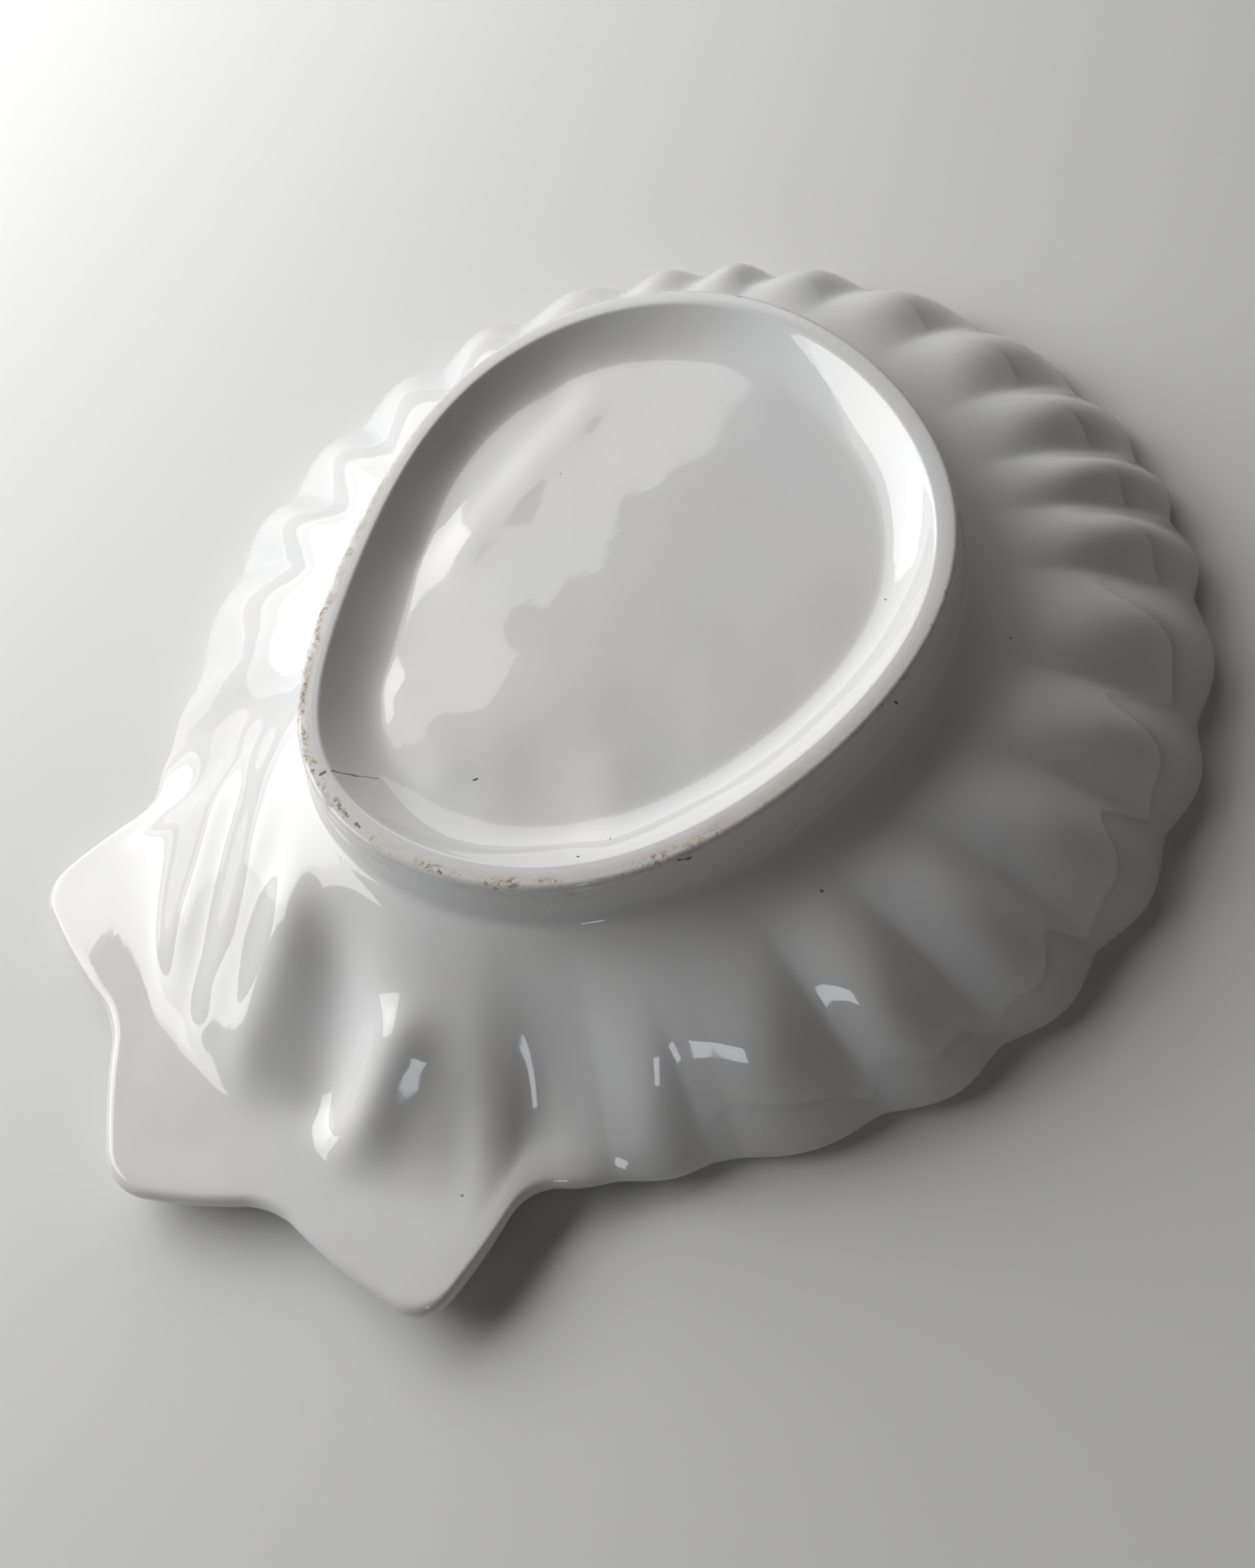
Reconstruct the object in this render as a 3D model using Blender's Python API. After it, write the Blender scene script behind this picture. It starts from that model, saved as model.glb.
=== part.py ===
"""Scallop-shell serving dish, cast in one piece of white glazed earthenware.

The dish lies on its rim with its foot ring uppermost, as it is put down to drain or store.
X runs across the shell, +Y points from the three-pointed hinge to the fan, +Z is up.
The origin is at the middle of the bounding box, on the table. Sizes are in metres.

One closed loft makes the whole body. Every section runs from the middle of the base over
the foot ring, down the fluted wall, round the lip and back along the food side.
"""
import math

import bpy
import numpy as np

# Overall form
DISH_HEIGHT = 0.056            # table to the crest of the foot ring
WALL = 0.0064                  # thickness of the cast wall, and of the rounded lip
LIP_TILT = 0.0052              # height of the outer skin's edge over the table on the fan

# Scalloped fan
FAN_RADIUS = 0.1405            # half width through the valleys of the scalloped rim
FAN_REACH = 0.1495             # from the fan's centre to the middle of its far edge
LOBE_DEPTH = 0.0036            # how far a lobe stands out between two valleys
LOBE_SHARPNESS = 1.35          # above 1 the valleys between two lobes are softer
FLUTE_DEPTH = 0.0050           # height of a rib over its grooves at mid wall
CALM_START = 94.0              # degrees, from here on the flutes get shallower towards the neck
NECK_CALM = 0.82               # share of their depth that they have lost at the neck
FLUTE_CENTRE = -0.035          # the flutes fan out from this point on the axis
# Valleys between two lobes, in degrees from the middle of the fan
VALLEY_BEARINGS = (0, 11.7, 21.2, 28.6, 37.1, 50.0, 61.8, 75.1, 88.1, 101.7, 120.3, 130.9)

# Hinge with its two ears and its beak, placed from the fan
NECK_NARROWER = 0.0637         # the neck, where the flanks meet the ears, is this much inside the fan's side
NECK_NEARER = 0.0129           # and this much less than the fan's radius behind the fan's centre
EAR_WIDER = 0.0047             # an ear's point, beside and behind the neck
EAR_BEHIND = 0.0377
NOTCH_HALF_WIDTH = 0.0337      # hollow between an ear and the beak
NOTCH_BEHIND = 0.0443
BEAK_BEHIND = 0.0716
NECK_RADIUS = 0.014
EAR_RADIUS = 0.010
NOTCH_RADIUS = 0.024
BEAK_RADIUS = 0.014
EAR_LIFT = 0.0060              # air gap between the table and the underside of the hinge
FLANGE_REACH = 0.134           # from the flutes' centre to where the hinge's wall turns flat
FLANGE_LEAST = 0.007           # least width of that flat edge
FLANGE_ROUND = 0.002           # softens the change between those two
BLEND_BEFORE = 0.42            # radians over which the fan turns into the hinge
BLEND_AFTER = 0.10

# Ribs and hollows over the hinge: start and end in plan, height and half width
HINGE_RIBS = (((-0.012, -0.108), (0.004, -0.162), 0.0040, 0.0100),
              ((0.036, -0.128), (0.042, -0.160), 0.0042, 0.0085),
              ((-0.040, -0.092), (-0.012, -0.158), 0.0026, 0.0080),
              ((-0.062, -0.100), (-0.030, -0.158), 0.0032, 0.0080),
              ((0.008, -0.116), (0.026, -0.150), -0.0036, 0.0100),
              ((0.058, -0.128), (0.066, -0.142), -0.0012, 0.0090))

# Egg-shaped foot ring, set a little askew on the shell
FOOT_HALF_LENGTH = 0.0932
FOOT_HALF_WIDTH = 0.0783
FOOT_TAPER = 0.016             # pulls the hinge end of the egg narrower
FOOT_FULLNESS = (0.026, -0.037)   # second and third wave of its half width
FOOT_BEND = 0.0046             # flattens its left side and fills out its right side
FOOT_TURN = 15.0               # degrees, its fan end towards -X
FOOT_OFFSET = -0.0068
FOOT_SETBACK = 0.0082          # from the fan's centre back to the middle of the egg
FOOT_HEIGHT = 0.0150           # crest above the wall just outside it
FOOT_FLARE = 0.0050            # outer face leans out by this much on its way down
FOOT_FILLET = 0.0030           # hollow at the foot of the outer face
CREST_ROUND = 0.0016           # rounding on each side of the bare crest
CREST_FLAT = 0.0036            # ground flat width of the bare crest
COVE_WIDTH = 0.0130            # hollow between the crest and the base
COVE_BENDS = ((0.35, 0.05), (0.64, 0.20), (0.86, 0.50))   # shares of its width and height, going up
BASE_RECESS = 0.0075           # edge of the base below the crest
BASE_DOME = 0.0020             # rise of the base towards its middle
FLOOR_THICKNESS = 0.0080       # cast thickness at the middle of the base

# How the wall falls
FAN_STEADY = 0.42              # share of the fan's fall that is even, the rest gathers at the lip
HINGE_SHOULDER = 0.45          # share of the hinge's fall that starts right below the foot
FLUTE_START = 0.75             # share of the way at which the flutes are at full height
FLUTE_LOSS = 0.75              # share of that height which is gone again at the lip
RIB_RISE = (0.02, 0.35)        # shares of the hinge's wall over which its ribs swell up
RIB_FALL = (0.70, 1.00)        # shares of the hinge's wall over which they run out

# Loft density
STEPS_PER_LOBE = 5
HINGE_STEPS = 21
BASE_ROWS = (0.40, 0.80)
WALL_ROWS = (0.12, 0.28, 0.44, 0.60, 0.74, 0.86, 0.94)
LIP_ROWS = 3
FLOOR_ROWS = (0.80, 0.45)
SETTLE_PASSES = 5

GLAZE_COLOUR = (0.84, 0.83, 0.81, 1.0)
GLAZE_ROUGHNESS = 0.12
COLLECTION = "scallop_dish"

# Places that follow from the sizes above, in plan from the fan's centre
NECK = (FAN_RADIUS - NECK_NARROWER, NECK_NEARER - FAN_RADIUS)
EAR = (NECK[0] + EAR_WIDER, NECK[1] - EAR_BEHIND)
NOTCH = (NOTCH_HALF_WIDTH, NECK[1] - NOTCH_BEHIND)
BEAK = (0.0, NECK[1] - BEAK_BEHIND)


def smooth(x, low=0.0, high=1.0):
    """Ease from 0 to 1 as x goes from low to high."""
    t = np.clip((np.asarray(x, float) - low) / (high - low), 0.0, 1.0)
    return t * t * (3.0 - 2.0 * t)


def filleted(corners, radii, steps=10):
    """Polyline through the corners, with each inner corner turned into an arc of its radius."""
    points = [np.array(corners[0], float)]
    for before, corner, after, radius in zip(corners, corners[1:], corners[2:], radii):
        before, corner, after = (np.array(p, float) for p in (before, corner, after))
        a = (before - corner) / np.linalg.norm(before - corner)
        b = (after - corner) / np.linalg.norm(after - corner)
        half = 0.5 * math.acos(np.clip(a @ b, -1.0, 1.0))
        centre = corner + (a + b) / np.linalg.norm(a + b) * radius / math.sin(half)
        start = corner + a * radius / math.tan(half) - centre
        end = corner + b * radius / math.tan(half) - centre
        sweep = math.pi - 2.0 * half
        for k in range(steps + 1):
            t = k / steps
            arm = math.sin((1 - t) * sweep) * start + math.sin(t * sweep) * end
            points.append(centre + arm / math.sin(sweep))
    points.append(np.array(corners[-1], float))
    return np.array(points)


def tangent_bearing():
    """Bearing at which a line through the neck leaves the fan's circle."""
    return math.atan2(*NECK) - math.acos(FAN_RADIUS / math.hypot(*NECK))


def rim_outline():
    """Right half of the rim without its lobes, from the fan's middle round to the beak."""
    arc = np.linspace(0.0, tangent_bearing(), 120)
    ahead = np.maximum(np.cos(arc), 0.0)
    radius = FAN_RADIUS + (FAN_REACH - FAN_RADIUS) * ahead ** 2
    fan = np.stack([radius * np.sin(arc), radius * np.cos(arc)], axis=1)
    corners = [tuple(fan[-1]), NECK, EAR, NOTCH, BEAK, (-NOTCH[0], NOTCH[1])]
    hinge = filleted(corners, (NECK_RADIUS, EAR_RADIUS, NOTCH_RADIUS, BEAK_RADIUS))
    hinge = hinge[hinge[:, 0] >= -1e-9]
    return np.vstack([fan[:-1], hinge])


def foot_outline():
    """The whole egg that the crest's outer edge follows."""
    turn = np.linspace(-math.pi, math.pi, 721)
    second, third = FOOT_FULLNESS
    swell = 1.0 + FOOT_TAPER * np.cos(turn) + second * np.cos(2.0 * turn) + third * np.cos(3.0 * turn)
    across = FOOT_HALF_WIDTH * np.sin(turn) * swell + FOOT_BEND * (1.0 - np.cos(2.0 * turn))
    along = FOOT_HALF_LENGTH * np.cos(turn)
    c, s = math.cos(math.radians(FOOT_TURN)), math.sin(math.radians(FOOT_TURN))
    return np.stack([c * across - s * along + FOOT_OFFSET, s * across + c * along - FOOT_SETBACK], axis=1)


def polar(outline):
    """Signed bearing and distance of an outline's points from the flutes' centre."""
    across, along = outline[:, 0], outline[:, 1] - FLUTE_CENTRE
    return np.arctan2(across, along), np.hypot(across, along)


RIM_BEARING, RIM_REACH = polar(rim_outline())
RIM_BEARING = np.maximum.accumulate(np.abs(RIM_BEARING))
FOOT_BEARING, FOOT_REACH = polar(foot_outline())
VALLEYS = np.radians(VALLEY_BEARINGS)
NECK_BEARING = math.atan2(NECK[0], NECK[1] - FLUTE_CENTRE)


def side_of(bearing):
    """Bearing without its sign, also a little beyond the beak."""
    return np.abs((bearing + math.pi) % (2.0 * math.pi) - math.pi)


def foot_reach(bearing):
    """Distance of the crest's outer edge from the flutes' centre."""
    return np.interp(bearing, FOOT_BEARING, FOOT_REACH, period=2.0 * math.pi)


def lobe(side):
    """0 in the valleys between two lobes and on the hinge, 1 on a lobe's middle."""
    edges = np.append(VALLEYS, NECK_BEARING)
    share = np.interp(side, edges, np.arange(len(edges)))
    return np.abs(np.sin(math.pi * share)) ** LOBE_SHARPNESS * (side < NECK_BEARING)


def calm(side):
    """1 on the open fan, less near the neck, where the flutes run out."""
    return 1.0 - NECK_CALM * smooth(side, math.radians(CALM_START), NECK_BEARING)


def hinge_share(side):
    """0 on the fan, 1 on the hinge."""
    return smooth(side, NECK_BEARING - BLEND_BEFORE, NECK_BEARING + BLEND_AFTER)


def plan(bearing, reach):
    """Point of the plan at a bearing and distance from the flutes' centre."""
    return reach * np.sin(bearing), FLUTE_CENTRE + reach * np.cos(bearing)


def hinge_ribs(x, y):
    """Height that the rounded ribs and hollows add over the hinge, by distance from their lines."""
    height = np.zeros_like(x)
    for start, end, rise, half_width in HINGE_RIBS:
        run = np.subtract(end, start)
        t = np.clip(((x - start[0]) * run[0] + (y - start[1]) * run[1]) / (run @ run), 0.0, 1.0)
        gap = np.hypot(x - start[0] - t * run[0], y - start[1] - t * run[1])
        height += rise * np.exp(-(gap / half_width) ** 2)
    return height


def wall_skin(bearing, u):
    """Outer skin of the wall, from the foot (u = 0) to the start of the lip (u = 1)."""
    side = side_of(bearing)
    scallop = lobe(side)
    hinge = hinge_share(side)
    foot = foot_reach(bearing) + FOOT_FLARE
    rim = np.interp(side, RIM_BEARING, RIM_REACH) + LOBE_DEPTH * scallop * calm(side)
    top = DISH_HEIGHT - FOOT_HEIGHT
    edge = LIP_TILT + (EAR_LIFT + WALL - LIP_TILT) * hinge
    fan_drop = FAN_STEADY * u + (1.0 - FAN_STEADY) * u ** 3
    flange = -FLANGE_ROUND * np.logaddexp(-FLANGE_REACH / FLANGE_ROUND, (FLANGE_LEAST - rim) / FLANGE_ROUND)
    w = np.clip(u * (rim - foot) / (flange - foot), 0.0, 1.0)
    hinge_drop = HINGE_SHOULDER * (1.0 - (1.0 - w) ** 2) + (1.0 - HINGE_SHOULDER) * smooth(w)
    z = top - (top - edge) * (fan_drop + (hinge_drop - fan_drop) * hinge)
    swell = smooth(u, 0.0, FLUTE_START) * (1.0 - FLUTE_LOSS * u ** 4)
    z = z + FLUTE_DEPTH * (scallop - 0.5) * swell * calm(side) * (1.0 - hinge)
    x, y = plan(bearing, foot + (rim - foot) * u)
    z = z + hinge_ribs(x, y) * hinge * smooth(w, *RIB_RISE) * (1.0 - smooth(w, *RIB_FALL))
    return np.stack([x, y, z], axis=-1)


def wall_normal(bearing, u):
    """Outward unit normal of the wall's outer skin."""
    step = 1e-4
    around = wall_skin(bearing + step, u) - wall_skin(bearing - step, u)
    down = wall_skin(bearing, np.minimum(u + step, 1.0)) - wall_skin(bearing, u - step)
    normal = np.cross(around, down)
    return normal / np.linalg.norm(normal, axis=-1, keepdims=True)


def foot_rows(bearing):
    """Rows from the middle of the base to the top of the wall, as (distance, height) pairs."""
    outer = foot_reach(bearing)
    crest = DISH_HEIGHT
    flat_out = outer - CREST_ROUND
    flat_in = flat_out - CREST_FLAT
    inner = flat_in - CREST_ROUND
    base_edge = inner - COVE_WIDTH
    base_z = crest - BASE_RECESS
    wall_z = crest - FOOT_HEIGHT
    rows = [(base_edge * f, base_z + BASE_DOME * (1.0 - f * f)) for f in BASE_ROWS]
    rows.append((base_edge, base_z))
    rows += [(base_edge + across * COVE_WIDTH, base_z + up * BASE_RECESS) for across, up in COVE_BENDS]
    rows.append((inner, crest - CREST_ROUND))
    rows.append((flat_in, crest))
    rows.append((flat_out, crest))
    rows.append((outer, crest - CREST_ROUND))
    rows.append((outer + FOOT_FLARE - FOOT_FILLET, wall_z + FOOT_FILLET))
    return rows


def hinge_bearings():
    """Bearings over half of the hinge, closer together where its outline turns."""
    outline = rim_outline()
    start = int(np.searchsorted(RIM_BEARING, NECK_BEARING))
    leg = np.linalg.norm(np.diff(outline[start:], axis=0), axis=1)
    turn = np.abs(np.diff(np.unwrap(np.arctan2(*np.diff(outline[start:], axis=0).T))))
    weight = leg + 2.0 * EAR_RADIUS * np.append(turn, 0.0)
    travel = np.append(0.0, np.cumsum(weight))
    marks = np.linspace(0.0, travel[-1], HINGE_STEPS)
    bearing = np.interp(marks, travel, RIM_BEARING[start:])
    bearing[0] = NECK_BEARING
    bearing[-1] = math.pi
    return bearing


def all_bearings():
    """Signed bearings of every section, from the beak round the fan and back, in even lobes."""
    edges = np.append(VALLEYS, NECK_BEARING)
    lobes = [np.linspace(a, b, STEPS_PER_LOBE, endpoint=False) for a, b in zip(edges, edges[1:])]
    side = np.concatenate(lobes + [hinge_bearings()])
    return np.concatenate([-side[:0:-1], side[:-1]])


def lip(edge, before, normal):
    """Half-round rows that join the outer skin's edge to the inner skin's."""
    along = edge - before
    along -= np.sum(along * normal, axis=1, keepdims=True) * normal
    along /= np.linalg.norm(along, axis=1, keepdims=True)
    centre = edge - 0.5 * WALL * normal
    rows = []
    for k in range(1, LIP_ROWS + 1):
        a = math.pi * k / (LIP_ROWS + 1)
        rows.append(centre + 0.5 * WALL * (math.cos(a) * normal + math.sin(a) * along))
    return rows


def settle(skins, normals, stations, bearing):
    """Lower or raise each section a little so that its lip just meets the table, or clears it."""
    for _ in range(SETTLE_PASSES):
        rows = lip(skins[-1], skins[-2], normals[-1]) + [skins[-1] - WALL * normals[-1]]
        lowest = np.min([row[:, 2] for row in rows], axis=0)
        shift = EAR_LIFT * hinge_share(side_of(bearing)) - lowest
        for skin, u in zip(skins, stations):
            skin[:, 2] += shift * u ** 3


def section_grid():
    """Rows of points from the middle of the base to the middle of the floor, and both middles."""
    bearing = all_bearings()
    rows = []
    for reach, z in foot_rows(bearing):
        x, y = plan(bearing, reach)
        rows.append(np.stack([x, y, np.broadcast_to(z, x.shape)], axis=-1))
    stations = (0.0,) + WALL_ROWS + (1.0,)
    skins = [wall_skin(bearing, np.full_like(bearing, u)) for u in stations]
    normals = [wall_normal(bearing, np.full_like(bearing, u)) for u in stations]
    settle(skins, normals, stations, bearing)
    rows += skins
    rows += lip(skins[-1], skins[-2], normals[-1])
    rows += [skin - WALL * normal for skin, normal in zip(skins[::-1], normals[::-1])]
    edge = rows[-1]
    base_z = DISH_HEIGHT - BASE_RECESS + BASE_DOME
    floor_z = base_z - FLOOR_THICKNESS
    for f in FLOOR_ROWS:
        x = edge[:, 0] * f
        y = FLUTE_CENTRE + (edge[:, 1] - FLUTE_CENTRE) * f
        rows.append(np.stack([x, y, floor_z + (edge[:, 2] - floor_z) * f ** 3], axis=-1))
    middle = np.array([[0.0, FLUTE_CENTRE, base_z], [0.0, FLUTE_CENTRE, floor_z]])
    return np.array(rows), middle


def dish_mesh(name):
    """Closed mesh over the whole turn, centred over the origin."""
    grid, middle = section_grid()
    low, high = grid[..., 1].min(), grid[..., 1].max()
    rows, columns = grid.shape[:2]
    points = np.vstack([grid.reshape(-1, 3), middle])
    points[:, 1] -= 0.5 * (low + high)
    first, last = rows * columns, rows * columns + 1
    faces = []
    for j in range(columns):
        after = (j + 1) % columns
        faces.append((first, after, j))
        faces.append((last, (rows - 1) * columns + j, (rows - 1) * columns + after))
        for i in range(rows - 1):
            row, below = i * columns, (i + 1) * columns
            faces.append((row + j, row + after, below + after, below + j))
    mesh = bpy.data.meshes.new(name)
    mesh.from_pydata(points.tolist(), [], faces)
    mesh.update()
    mesh.shade_smooth()
    return mesh


def glaze_material():
    """White tin glaze, seen as one glossy coat."""
    material = bpy.data.materials.new("white_glaze")
    material.use_nodes = True
    shader = material.node_tree.nodes["Principled BSDF"]
    shader.inputs["Base Color"].default_value = GLAZE_COLOUR
    shader.inputs["Roughness"].default_value = GLAZE_ROUGHNESS
    shader.inputs["Metallic"].default_value = 0.0
    material.diffuse_color = GLAZE_COLOUR
    return material


def build_dish(collection):
    """The dish, with its glaze."""
    dish = bpy.data.objects.new("dish", dish_mesh("dish"))
    collection.objects.link(dish)
    dish.data.materials.append(glaze_material())
    return dish


def main():
    for leftover in list(bpy.data.objects):
        bpy.data.objects.remove(leftover, do_unlink=True)
    parts = bpy.data.collections.new(COLLECTION)
    bpy.context.scene.collection.children.link(parts)
    build_dish(parts)


main()
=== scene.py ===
"""Scallop-shell serving dish in white glazed earthenware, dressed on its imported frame.

The dish lies upside down on its rim, as in the photograph. X runs across the shell, +Y points
from the hinge to the fan, +Z is up, and every size is in metres.
"""
import logging
import math
from dataclasses import dataclass, field
from enum import Enum

import bpy
import numpy as np
from mathutils import Matrix


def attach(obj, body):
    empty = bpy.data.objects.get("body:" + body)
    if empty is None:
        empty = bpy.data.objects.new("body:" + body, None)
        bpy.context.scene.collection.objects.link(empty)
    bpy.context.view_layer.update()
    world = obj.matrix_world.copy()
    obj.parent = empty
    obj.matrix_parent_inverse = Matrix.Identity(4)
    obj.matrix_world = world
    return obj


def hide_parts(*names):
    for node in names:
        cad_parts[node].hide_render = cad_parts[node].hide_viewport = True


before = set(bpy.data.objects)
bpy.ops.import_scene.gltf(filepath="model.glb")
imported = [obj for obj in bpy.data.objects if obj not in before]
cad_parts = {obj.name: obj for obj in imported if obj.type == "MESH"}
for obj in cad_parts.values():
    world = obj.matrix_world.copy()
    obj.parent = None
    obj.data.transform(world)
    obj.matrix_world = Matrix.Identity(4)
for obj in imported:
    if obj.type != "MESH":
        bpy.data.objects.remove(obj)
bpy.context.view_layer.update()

LOG = logging.getLogger("shell_dish")


def smooth(x: np.ndarray, low: float = 0.0, high: float = 1.0) -> np.ndarray:
    """Ease from 0 to 1: t * t * (3 - 2t) with t the share of the way from low to high.

    Args:
        x: Values to ease.
        low: Value that gives 0.
        high: Value that gives 1.

    Returns:
        Eased values, the same shape as x.
    """
    t = np.clip((np.asarray(x, float) - low) / (high - low), 0.0, 1.0)
    return t * t * (3.0 - 2.0 * t)


def ripple(x: np.ndarray, y: np.ndarray, waves: tuple) -> np.ndarray:
    """Sum of height * sin(2 pi * (x cos a + y sin a) / length + 7a) over plane waves.

    Args:
        x: Across the shell.
        y: Along the shell.
        waves: Height, wave length and heading a in degrees of each wave.

    Returns:
        Added heights.
    """
    total = np.zeros(np.broadcast(x, y).shape)
    for height, length, heading in waves:
        a = math.radians(heading)
        total += height * np.sin(2.0 * math.pi * (x * math.cos(a) + y * math.sin(a)) / length + 7.0 * a)
    return total


def filleted(corners: list, radii: tuple, steps: int = 24) -> np.ndarray:
    """Polyline through corners, each inner corner turned into an arc of its radius.

    Args:
        corners: Points as (x, y) pairs.
        radii: One radius for each corner between the first and the last.
        steps: Segments in each arc.

    Returns:
        Points, one row each.
    """
    points = [np.array(corners[0], float)]
    for before, corner, after, radius in zip(corners, corners[1:], corners[2:], radii):
        before, corner, after = (np.array(p, float) for p in (before, corner, after))
        a = (before - corner) / np.linalg.norm(before - corner)
        b = (after - corner) / np.linalg.norm(after - corner)
        half = 0.5 * math.acos(float(np.clip(a @ b, -1.0, 1.0)))
        centre = corner + (a + b) / np.linalg.norm(a + b) * radius / math.sin(half)
        start = corner + a * radius / math.tan(half) - centre
        end = corner + b * radius / math.tan(half) - centre
        sweep = math.pi - 2.0 * half
        t = np.linspace(0.0, 1.0, steps + 1)[:, None]
        arc = centre + (np.sin((1.0 - t) * sweep) * start + np.sin(t * sweep) * end) / math.sin(sweep)
        points.extend(arc)
    points.append(np.array(corners[-1], float))
    return np.array(points)


class SurfaceMark(Enum):
    """Mesh attributes that tell the glaze where it lies."""

    RING_GAP = "ring_gap"
    GROOVE = "groove"
    EDGE = "edge"


@dataclass(frozen=True)
class Swelling:
    """Bell-shaped rib, or hollow where its rise is negative, along a straight crest line."""

    start: tuple
    end: tuple
    rise: float
    half_width: float

    def height(self, x: np.ndarray, y: np.ndarray) -> np.ndarray:
        """Rise times exp(-(distance from the crest line / half width)^2).

        Args:
            x: Across the shell.
            y: Along the shell.

        Returns:
            Added heights.
        """
        run = np.subtract(self.end, self.start)
        t = np.clip(((x - self.start[0]) * run[0] + (y - self.start[1]) * run[1]) / (run @ run), 0.0, 1.0)
        gap = np.hypot(x - self.start[0] - t * run[0], y - self.start[1] - t * run[1])
        return self.rise * np.exp(-(gap / self.half_width) ** 2)


@dataclass(frozen=True)
class DishSizes:
    """Sizes that the scene's dish shares with the CAD source."""

    height: float = 0.056
    wall: float = 0.0064
    lip_tilt: float = 0.0052
    fan_radius: float = 0.1405
    fan_reach: float = 0.1495
    lobe_depth: float = 0.0036
    lobe_sharpness: float = 1.35
    flute_depth: float = 0.0050
    calm_start: float = 94.0
    neck_calm: float = 0.82
    flute_centre: float = -0.035
    valley_bearings: tuple = (0, 11.7, 21.2, 28.6, 37.1, 50.0, 61.8, 75.1, 88.1, 101.7, 120.3, 130.9)
    neck_half_width: float = 0.0768
    neck_setback: float = 0.1276
    ear_half_width: float = 0.0815
    ear_setback: float = 0.1653
    notch_half_width: float = 0.0337
    notch_setback: float = 0.1719
    beak_setback: float = 0.1992
    hinge_radii: tuple = (0.014, 0.010, 0.024, 0.014)
    ear_lift: float = 0.0060
    flange_reach: float = 0.134
    flange_least: float = 0.007
    flange_round: float = 0.002
    blend_before: float = 0.42
    blend_after: float = 0.10
    ribs: tuple = (Swelling((-0.012, -0.108), (0.004, -0.162), 0.0040, 0.0100),
                   Swelling((0.036, -0.128), (0.042, -0.160), 0.0042, 0.0085),
                   Swelling((-0.040, -0.092), (-0.012, -0.158), 0.0026, 0.0080),
                   Swelling((-0.062, -0.100), (-0.030, -0.158), 0.0032, 0.0080),
                   Swelling((0.008, -0.116), (0.026, -0.150), -0.0036, 0.0100),
                   Swelling((0.058, -0.128), (0.066, -0.142), -0.0012, 0.0090))
    foot_half_length: float = 0.0932
    foot_half_width: float = 0.0783
    foot_taper: float = 0.016
    foot_fullness: tuple = (0.026, -0.037)
    foot_bend: float = 0.0046
    foot_turn: float = 15.0
    foot_offset: float = -0.0068
    foot_setback: float = 0.0082
    foot_height: float = 0.0150
    foot_flare: float = 0.0050
    foot_fillet: float = 0.0030
    crest_round: float = 0.0016
    crest_flat: float = 0.0036
    cove_width: float = 0.0130
    base_recess: float = 0.0075
    base_dome: float = 0.0020
    floor_thickness: float = 0.0080
    fan_steady: float = 0.42
    hinge_shoulder: float = 0.45
    flute_start: float = 0.75
    flute_loss: float = 0.75
    rib_rise: tuple = (0.02, 0.35)
    rib_fall: tuple = (0.70, 1.0)


@dataclass(frozen=True)
class CastRelief:
    """Low relief that casting and glazing leave, and how the flutes and the cove run out."""

    base: tuple = (Swelling((-0.0560, 0.0250), (-0.0490, -0.0320), -0.00050, 0.0060),
                   Swelling((-0.0480, 0.0300), (-0.0405, -0.0260), 0.00045, 0.0065),
                   Swelling((0.0060, -0.0560), (0.0180, -0.0400), 0.00060, 0.0150),
                   Swelling((-0.0200, -0.0660), (0.0040, -0.0730), 0.00050, 0.0070),
                   Swelling((0.0370, -0.0480), (0.0470, -0.0600), 0.00055, 0.0070),
                   Swelling((0.0200, -0.0560), (0.0300, -0.0660), -0.00040, 0.0070),
                   Swelling((0.0100, 0.0300), (0.0300, 0.0500), -0.00030, 0.0250))
    waves: tuple = ((0.00012, 0.047, 12.0), (0.00009, 0.031, 74.0), (0.00008, 0.038, 131.0),
                    (0.00002, 0.013, 40.0), (0.00002, 0.016, 103.0))
    step: float = 0.00035
    step_span: tuple = (0.32, 0.44)
    flute_ease: float = 1.6
    neck_delay: float = 0.40
    contour_spread: float = 9.0
    cove_meets: float = 48.0


@dataclass(frozen=True)
class SkinRows:
    """How many rows of points each part of the skin takes, and where some of them lie."""

    base: int = 22
    base_reach: tuple = (0.04, 0.97)
    cove: int = 15
    crest_inside: int = 5
    crest_outside: int = 6
    ring_face: int = 14
    ring_fillet: int = 3
    wall: int = 34
    rim: int = 5
    rim_reach: tuple = (0.90, 0.92)
    lip: int = 10
    food_floor: tuple = (0.97, 0.9, 0.8, 0.62, 0.4, 0.2)
    settling: int = 6

    def wall_stations(self) -> np.ndarray:
        """Shares of the way down the wall, closer together at the rim."""
        return np.concatenate([np.linspace(0.0, self.rim_reach[0], self.wall),
                               np.linspace(self.rim_reach[1], 1.0, self.rim)])


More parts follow.
